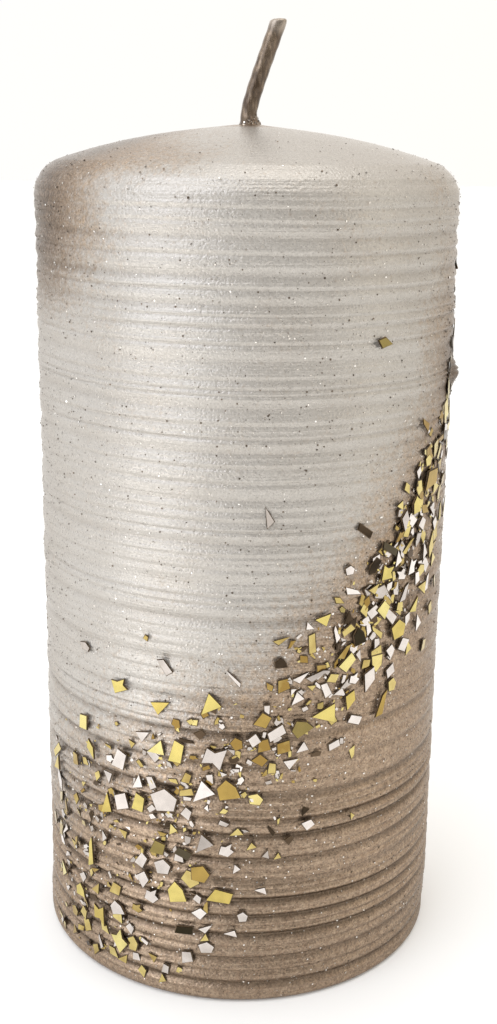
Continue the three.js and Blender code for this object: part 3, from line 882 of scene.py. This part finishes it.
def scatter_flakes(heaps):
    """Small flakes strewn along the sash by a seeded generator, on round the back."""
    random = np.random.default_rng(SEED + 1)
    kinds = ("gold", "silver", "dark")
    outlines = list(OUTLINES.values())
    for _ in range(SCATTERED_FLAKES):
        azimuth = 150 - 215 * random.random() ** 1.15
        spread = 6.5 + 5.5 * np.clip(-azimuth / 45, 0, 1)
        height = sash_height(azimuth) / MM + random.normal(0, spread)
        seen = -60 < azimuth < 68
        size = 0.35 + (1.3 if seen else 3.0) * random.random() ** 2
        if 28 < azimuth < 68:
            size = size * 1.45
        stretch = random.uniform(0.9, 1.5)
        narrow = random.uniform(0.5, 1.0)
        spin = random.uniform(0, 360)
        lift = random.uniform(0, 0.3)
        tint = random.uniform(0, 1)
        leans = random.normal(0, 6 if azimuth < FLAT_FLAKES else 2, 2)
        far_end = azimuth > 52 and height > 82
        shares = (0.66, 0.16, 0.18) if far_end else (0.5, 0.42, 0.08)
        kind = kinds[random.choice(3, p=shares)]
        outline = outlines[random.integers(len(outlines))]
        above = height - sash_height(azimuth) / MM
        if not 2 < height < 128 or above > 1.8 * spread:
            continue
        place = tilted(wall_place(azimuth, height * MM, seat(azimuth) + lift * MM), spin, leans)
        length = size * stretch * MM
        width = size * narrow * MM
        if size > 0.8:
            heaps[kind].add_flake(heaps["rim"], outline, place, length, width, SMALL_FLAKE_THICKNESS, tint)
        else:
            heaps[kind].add(outline, place, length, width, CHIP_THICKNESS, tint)


def scatter_glitter(heaps):
    """Fine glitter in the lacquer: bright grains, and dark ones that turn away from the light."""
    random = np.random.default_rng(SEED + 2)
    hexagon = [(0.5 * math.cos(turn), 0.5 * math.sin(turn)) for turn in np.radians(range(0, 360, 60))]
    azimuths = random.uniform(-180, 180, GLITTER_SPECKS)
    heights = random.uniform(1, 129, GLITTER_SPECKS) * MM
    depths = relief(azimuths, heights)[0] - rim_bulge(azimuths, heights)
    sizes = (0.1 + 0.24 * random.random(GLITTER_SPECKS) ** 3) * MM
    for row in zip(azimuths.tolist(), heights.tolist(), depths.tolist(), sizes.tolist()):
        azimuth, height, depth, size = row
        near_sash = math.exp(-(((height - sash_height(azimuth)) / (18 * MM)) ** 2))
        kind = "silver" if random.random() < 0.5 + 0.4 * near_sash else "dark"
        size = size * (1 + 0.3 * near_sash)
        part = random.random()
        if part < 0.02:
            place = dome_place(azimuth, 30 * MM * math.sqrt(random.random()))
        elif part < 0.045:
            place = shoulder_place(azimuth, random.random())
        else:
            place = wall_place(azimuth, height, BODY_RADIUS - depth)
        place = tilted(place, random.uniform(0, 60), random.normal(0, 14, 2))
        heaps[kind].add(hexagon, place, size, size, CHIP_THICKNESS, random.uniform(0, 1))
    for _ in range(ROOT_SPECKS):
        place = collar_place(random.uniform(-30, 210), random.uniform(0.3, 0.95))
        place = tilted(place, random.uniform(0, 60), random.normal(0, 25, 2))
        size = random.uniform(0.15, 0.35) * MM
        kind = "silver" if random.random() < 0.5 else "dark"
        heaps[kind].add(hexagon, place, size, size, CHIP_THICKNESS, 1.0)


def strew_flakes():
    """The middle-sized and small flakes of each kind, and the dark sheets of painted shadow round them."""
    heaps = {"gold": FlakeHeap(), "silver": FlakeHeap(), "dark": FlakeHeap(), "rim": FlakeHeap()}
    add_cad_rims(heaps["rim"])
    place_flakes(heaps)
    scatter_flakes(heaps)
    return heaps


def make_glitter():
    heaps = {"silver": FlakeHeap(), "dark": FlakeHeap()}
    scatter_glitter(heaps)
    bright = foil("glitter_bright", srgb(250, 246, 240), srgb(214, 206, 196), 0.3)
    heaps["silver"].piece("glitter_bright", "silver_foil", bright)
    dull = foil("glitter_dark", srgb(66, 56, 46), srgb(120, 106, 92), 0.4)
    heaps["dark"].piece("glitter_dark", "dark_foil", dull)


# ---------------- wick

WICK_ROOT = DOME_TOP + 1.6 * MM
WICK_UPRIGHT_SHARE = 0.15  # of its free height, pointing straight up
WICK_BEND = (0.65, 0.67)  # shares of the lean and of the free height, where the upper part bends over
WICK_SIDES = 40
WICK_FLATNESS = 0.9
WEAVE_PITCH = 0.8 * MM
WEAVE_DEPTH = 0.04  # of the wick's radius
TIP_ROUNDING = 0.8 * MM
TIP_SLANT = 0.5 * MM


def wick_path():
    """Centre line of the wick from the sustainer to its tip, with the CAD wick's lean."""
    tip_x = WICK_HIGH.x - WICK_RADIUS * 0.95
    tip = WICK_HIGH.z - 0.45 * MM
    free = tip - WICK_ROOT
    bend_x, bend_up = WICK_BEND
    root = Vector((0, 0, WICK_ROOT))
    upright = Vector((0, 0, WICK_ROOT + free * WICK_UPRIGHT_SHARE))
    bend = Vector((tip_x * bend_x, 0, WICK_ROOT + free * bend_up))
    end = Vector((tip_x, 0, tip))
    points = [Vector((0, 0, z)) for z in np.linspace(WICK_LOW.z, WICK_ROOT, 30)[:-1].tolist()]
    for t in np.linspace(0, 1, 110).tolist():
        s = 1 - t
        points.append(s**3 * root + 3 * s * s * t * upright + 3 * s * t * t * bend + t**3 * end)
    return points


def wick_ring(centre, forward, along, left):
    """Points round the wick at one place: along it from its foot, and with so much left to its tip."""
    side = Vector((0, 1, 0))
    front = side.cross(forward).normalized()
    tip = max(0.0, 1 - max(0.0, 1 - left / TIP_ROUNDING) ** 3) ** (1 / 3)
    slant = TIP_SLANT * float(1 - smoothstep(0, 1.4 * MM, left))
    root = math.exp(-(((centre.z - DOME_TOP - 0.9 * MM) / (1.3 * MM)) ** 2))
    points = []
    for step in range(WICK_SIDES):
        angle = 2 * math.pi * step / WICK_SIDES
        strand = along / WEAVE_PITCH
        weave = math.sin(2 * angle + strand) * math.sin(2 * angle - strand)
        lump = root * (0.12 + 0.16 * math.cos(angle))
        radius = WICK_RADIUS * (1.0 + WEAVE_DEPTH * weave + lump) * max(tip, 0.02)
        across = front * radius * math.cos(angle) + side * radius * WICK_FLATNESS * math.sin(angle)
        points.append(centre + across + forward * slant * tip * math.cos(angle))
    return points


def make_wick():
    """Cotton braid, dipped: soft diagonal strands, a blunt tip and lacquer gathered at the root."""
    path = wick_path()
    total = sum((b - a).length for a, b in zip(path, path[1:]))
    points = []
    dryness = []
    along = 0.0
    for index, centre in enumerate(path):
        before = path[max(index - 1, 0)]
        after = path[min(index + 1, len(path) - 1)]
        if index:
            along += (centre - before).length
        left = total - along
        points += wick_ring(centre, (after - before).normalized(), along, left)
        dryness += [float(1 - smoothstep(0.5 * MM, 3.2 * MM, left))] * WICK_SIDES
    faces = ring_faces(len(path), WICK_SIDES)[:-WICK_SIDES]
    faces.append(tuple(range(WICK_SIDES))[::-1])
    faces.append(tuple(range(len(points) - WICK_SIDES, len(points))))
    wick = add_piece("wick_braid", points, faces, wick_lacquer())
    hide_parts("wick")
    add_attribute(wick, "dry", dryness)


def wick_lacquer():
    """Bronze-gold lacquer soaked into cotton, paler and drier towards the tip."""
    shader = Shader("wick_lacquer")
    fibre = shader.noise((2400, 2400, 700), detail=3)
    patch = shader.noise((620, 620, 380), detail=2)
    colour = shader.mixed(shader.mapped(patch, 0.35, 0.65), srgb(96, 78, 60), srgb(146, 127, 106))
    colour = shader.mixed(shader.mapped(fibre, 0.35, 0.7, 0.0, 0.8), colour, srgb(62, 48, 36))
    dry = shader.calc("MULTIPLY", shader.attribute("dry"), 0.75)
    colour = shader.mixed(dry, colour, srgb(172, 160, 146))
    shader.feed(Base_Color=colour)
    shader.feed(Roughness=shader.mapped(fibre, 0.3, 0.7, 0.18, 0.42))
    shader.feed(Metallic=0.75, Coat_Weight=0.5, Coat_Roughness=0.15)
    shader.feed(Normal=shader.bump(fibre, 0.12 * MM, 0.7))
    return shader.material


# ---------------- inside pieces


def paraffin():
    """Pressed paraffin: milky, faintly crystalline."""
    shader = Shader("paraffin")
    cloud = shader.noise(160, detail=4)
    crystal = shader.cells(1500)
    colour = shader.mixed(shader.mapped(cloud, 0.35, 0.65), srgb(243, 236, 222), srgb(233, 224, 206))
    shader.feed(Base_Color=colour)
    shader.feed(Roughness=shader.mapped(crystal, 0, 0.8, 0.45, 0.6))
    shader.feed(Subsurface_Weight=0.35, Subsurface_Scale=2 * MM)
    shader.feed(Normal=shader.bump(crystal, 0.04 * MM, 0.5))
    return shader.material


def tinned_steel():
    """Thin tinned steel, stamped, with fine spin marks."""
    shader = Shader("tinned_steel")
    marks = shader.noise((300, 5200, 300), detail=3)
    tarnish = shader.noise(240, detail=3)
    colour = shader.mixed(shader.mapped(tarnish, 0.4, 0.7), srgb(198, 199, 202), srgb(168, 168, 168))
    shader.feed(Base_Color=colour)
    shader.feed(Roughness=shader.mapped(marks, 0.3, 0.7, 0.24, 0.4))
    shader.feed(Metallic=1.0)
    shader.feed(Normal=shader.bump(marks, 0.02 * MM, 0.4))
    return shader.material


# ---------------- studio

FLOOR_REACH = 6.0
ROOM_BRIGHT_SIDE = (-0.45, 0.7, 0.55)
ROOM_STRENGTH = (0.38, 1.46)
PHOTOGRAPHER = (0.12, -0.99, 0.05)  # direction in which they stand
COOL_LEFT = (0.98, 1.0, 1.03, 1.0)
WARM_RIGHT = (1.06, 1.0, 0.91, 1.0)


def floor_paper():
    colour = srgb(236, 236, 235)
    shader = Shader("floor_paper")
    shader.feed(Base_Color=colour, Roughness=0.8, Emission_Color=colour, Emission_Strength=0.1)
    return shader.material


def make_floor():
    mesh = bpy.data.meshes.new("floor")
    corners = [(x * FLOOR_REACH, y * FLOOR_REACH, 0) for x, y in ((-1, -1), (1, -1), (1, 1), (-1, 1))]
    mesh.from_pydata(corners, [], [(0, 1, 2, 3)])
    mesh.materials.append(floor_paper())
    floor = bpy.data.objects.new("floor", mesh)
    bpy.context.scene.collection.objects.link(floor)


def direction(azimuth, elevation):
    turn = math.radians(azimuth)
    rise = math.radians(elevation)
    return Vector((math.sin(turn) * math.cos(rise), -math.cos(turn) * math.cos(rise), math.sin(rise)))


def panel(name, place, target, width, height, watts, colour=(1, 1, 1)):
    """A soft rectangular light at a place, aimed at a target."""
    light = bpy.data.lights.new(name, "AREA")
    light.shape = "RECTANGLE"
    light.size = width
    light.size_y = height
    light.energy = watts
    light.color = colour
    lamp = bpy.data.objects.new(name, light)
    bpy.context.scene.collection.objects.link(lamp)
    lamp.location = place
    lamp.rotation_euler = (place - target).to_track_quat("Z", "Y").to_euler()


def make_lights():
    middle = Vector((0, 0, DOME_TOP / 2))
    panel("window", middle + 0.9 * direction(-42, 35), middle, 0.68, 0.8, 2.7, (0.91, 0.97, 1.1))
    panel("ceiling", middle + 0.9 * direction(40, 76), middle, 0.7, 0.7, 1.9)
    # The bright table in front, which the candle's foot mirrors
    panel("table_glow", Vector((-0.15, -0.15, 0.05)), Vector((0, 0, 0.015)), 0.16, 0.05, 0.055)
    panel("side_fill", middle + direction(72, 20), middle, 0.4, 0.8, 0.6, (1.0, 0.95, 0.82))


def make_world():
    """White surroundings, darker where the photographer stands, cooler on the left."""
    world = bpy.data.worlds.new("studio")
    bpy.context.scene.world = world
    world.use_nodes = True
    tree = Nodes(world.node_tree)
    background = tree.nodes["Background"]
    place = tree.add("TexCoord").outputs["Generated"]
    room = tree.mapped(tree.vector_calc("DOT_PRODUCT", place, ROOM_BRIGHT_SIDE), -1, 1, *ROOM_STRENGTH)
    towards = tree.vector_calc("DOT_PRODUCT", place, PHOTOGRAPHER)
    shaded = tree.calc("MULTIPLY", room, tree.mapped(towards, 0.72, 0.98, 1.0, 0.5))
    # The camera sees plain white behind the candle; the candle sees the shaded studio
    seen = tree.add("Mix")
    tree.put(tree.add("LightPath").outputs["Is Camera Ray"], seen.inputs["Factor"])
    tree.put(shaded, seen.inputs["A"])
    tree.put(1.0, seen.inputs["B"])
    tree.put(seen.outputs["Result"], background.inputs["Strength"])
    split = tree.add("SeparateXYZ")
    tree.put(place, split.inputs["Vector"])
    tone = tree.mixed(tree.mapped(split.outputs["X"], -1, 1), COOL_LEFT, WARM_RIGHT)
    tree.put(tone, background.inputs["Color"])


def make_camera():
    """The photograph's viewpoint: close, a little above, looking down at the candle."""
    data = bpy.data.cameras.new("camera")
    data.lens = 46.2
    data.sensor_width = 36.0
    data.clip_start = 0.01
    camera = bpy.data.objects.new("camera", data)
    bpy.context.scene.collection.objects.link(camera)
    camera.location = (0.0, -0.2241, 0.1361)
    down, right, roll = 0.267, 0.004, 0.013
    look = Matrix.Rotation(-right, 4, "Z") @ Matrix.Rotation(math.pi / 2 - down, 4, "X")
    camera.rotation_euler = (look @ Matrix.Rotation(roll, 4, "Z")).to_euler()
    bpy.context.scene.camera = camera


make_camera()
make_world()
make_floor()
make_lights()
bpy.context.scene.view_settings.view_transform = "Standard"

make_coat()
make_wick()
dress_node("wax_core", paraffin())
dress_node("wick_sustainer", tinned_steel())
dress_cad_flakes()

flakes = strew_flakes()
# Dark sheets under the flakes' edges: painted shadow round them
flakes["rim"].piece("flake_shadow_sheets", "pearl_lacquer", painted_flake_shadow())
make_glitter()
for kind, (light, dark) in SMALL_FOILS.items():
    foil_material = foil(f"{kind}_foil_small", srgb(*light), srgb(*dark))
    flakes[kind].piece(f"{kind}_flakes_small", f"{kind}_foil", foil_material)
